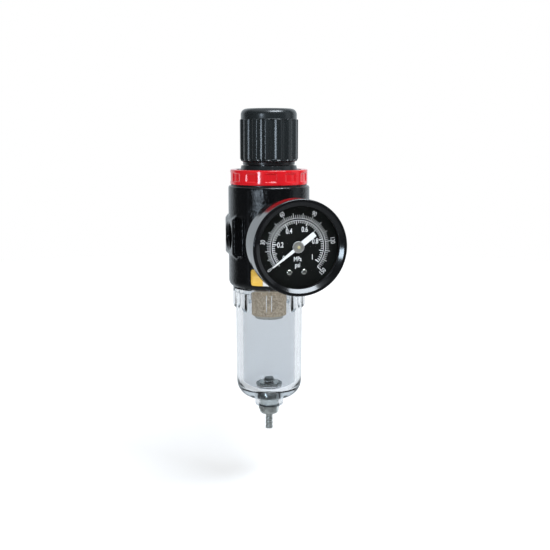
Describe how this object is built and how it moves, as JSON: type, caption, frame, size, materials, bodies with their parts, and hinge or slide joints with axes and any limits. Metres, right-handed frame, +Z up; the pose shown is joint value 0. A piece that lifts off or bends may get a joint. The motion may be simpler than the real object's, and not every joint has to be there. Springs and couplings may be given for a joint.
{
  "type": "air filter-regulator with gauge",
  "caption": "Compressed-air filter-regulator: push-lock knob and ring nut on a die-cast body, dial gauge in front, clear bowl with filter and barbed drain below.",
  "frame": {"origin": "centre of the inlet port's mouth, on the port axis", "axes": "+X along the flow from inlet to outlet, +Z up along the main axis towards the knob, the gauge faces -Y"},
  "size_m": [0.043, 0.0752, 0.1618],
  "materials": {
    "die_cast_black": "black satin paint over die-cast alloy, fine hammered grain",
    "black_plastic": "black moulded plastic, semi-gloss",
    "red_plastic": "red moulded plastic, glossy",
    "white_plastic": "natural acetal",
    "black_rubber": "moulded nitrile rubber",
    "brass": "turned brass",
    "phosphor_bronze": "drawn phosphor bronze",
    "sintered_bronze": "porous sintered bronze",
    "spring_steel": "bright spring wire",
    "plated_steel": "zinc plated",
    "black_steel": "blackened steel",
    "nickel_plate": "nickel-plated brass",
    "clear_bowl": "clear polycarbonate",
    "clear_window": "clear acrylic",
    "gauge_black": "black enamelled steel, glossy",
    "dial_black": "matt black dial with white marks",
    "pointer_white": "white painted aluminium"
  },
  "bodies": {
    "housing": {"body": "die_cast_black", "valve_seat": "brass", "valve_spring": "spring_steel", "valve_guide": "white_plastic", "guide_o_ring": "black_rubber", "deflector": "black_plastic", "filter_element": "sintered_bronze", "element_nut": "white_plastic", "bonnet": "black_plastic", "thrust_washer": "brass", "adjusting_spring": "spring_steel", "diaphragm": "black_rubber", "rear_plug": "black_steel", "gauge_socket": "brass", "gauge_case": "gauge_black", "gauge_bezel": "gauge_black", "gauge_window": "clear_window", "window_gasket": "black_rubber", "gauge_dial": "dial_black", "dial_screws": "nickel_plate", "movement_plates": "brass", "bourdon_tube": "phosphor_bronze"},
    "ring": {"ring_nut": "red_plastic"},
    "screw": {"adjusting_screw": "plated_steel"},
    "knob": {"knob": "black_plastic"},
    "nut": {"spring_nut": "brass"},
    "diaphragm_plates": {"spring_plate": "plated_steel", "relief_seat": "brass"},
    "valve": {"valve_stem": "brass", "valve_disc": "black_rubber"},
    "bowl": {"bowl": "clear_bowl", "bowl_o_ring": "black_rubber", "drain_body": "nickel_plate", "drain_gasket": "black_rubber", "drain_nut": "nickel_plate", "drain_spring": "spring_steel"},
    "drain": {"drain_stem": "nickel_plate", "drain_head": "nickel_plate", "drain_seal": "black_rubber"},
    "pointer": {"pointer_arbor": "brass", "pointer": "pointer_white", "pointer_cap": "nickel_plate"},
    "sector": {"sector_gear": "brass"},
    "link": {"tube_link": "brass"}
  },
  "joints": [
    {"name": "knob_turn", "type": "hinge", "parent": "housing", "child": "screw", "pos_m": [0.0205, 0, 0.0475], "axis": [0, 0, 1], "range_deg": [-1800, 0]},
    {"name": "knob_push", "type": "slide", "parent": "screw", "child": "knob", "axis": [0, 0, 1], "range_m": [-0.0018, 0]},
    {"name": "nut_travel", "type": "slide", "parent": "housing", "child": "nut", "axis": [0, 0, 1], "range_m": [-0.0075, 0], "deforming": ["adjusting_spring"]},
    {"name": "diaphragm_dip", "type": "slide", "parent": "housing", "child": "diaphragm_plates", "axis": [0, 0, 1], "range_m": [-0.0012, 0], "stiffness_N_per_m": 900, "springref_m": 0.001, "deforming": ["diaphragm", "valve_spring"]},
    {"name": "valve_open", "type": "slide", "parent": "housing", "child": "valve", "axis": [0, 0, 1], "range_m": [-0.0013, 0]},
    {"name": "ring_lift", "type": "slide", "parent": "housing", "child": "ring", "axis": [0, 0, 1], "range_m": [0, 0.038]},
    {"name": "bowl_drop", "type": "slide", "parent": "housing", "child": "bowl", "axis": [0, 0, 1], "range_m": [-0.034, 0]},
    {"name": "drain_push", "type": "slide", "parent": "bowl", "child": "drain", "axis": [0, 0, 1], "range_m": [0, 0.0025], "stiffness_N_per_m": 400, "springref_m": -0.002, "deforming": ["drain_spring"]},
    {"name": "pointer_turn", "type": "hinge", "parent": "housing", "child": "pointer", "pos_m": [0.0205, -0.045, 0], "axis": [0, 1, 0], "range_deg": [0, 262], "stiffness_Nm_per_rad": 0.0002, "deforming": ["bourdon_tube"]},
    {"name": "sector_turn", "type": "hinge", "parent": "housing", "child": "sector", "pos_m": [0.0205, -0.043, -0.0126], "axis": [0, 1, 0], "range_deg": [-44, 0]},
    {"name": "link_turn", "type": "hinge", "parent": "sector", "child": "link", "pos_m": [0.01967, -0.0446, -0.01733], "axis": [0, 1, 0], "range_deg": [0, 44]}
  ],
  "couplings": [
    {"joint": "valve_open", "follows": "diaphragm_dip", "ratio": 1},
    {"joint": "sector_turn", "follows": "pointer_turn", "ratio": -0.16667},
    {"joint": "link_turn", "follows": "pointer_turn", "ratio": 0.16667}
  ]
}
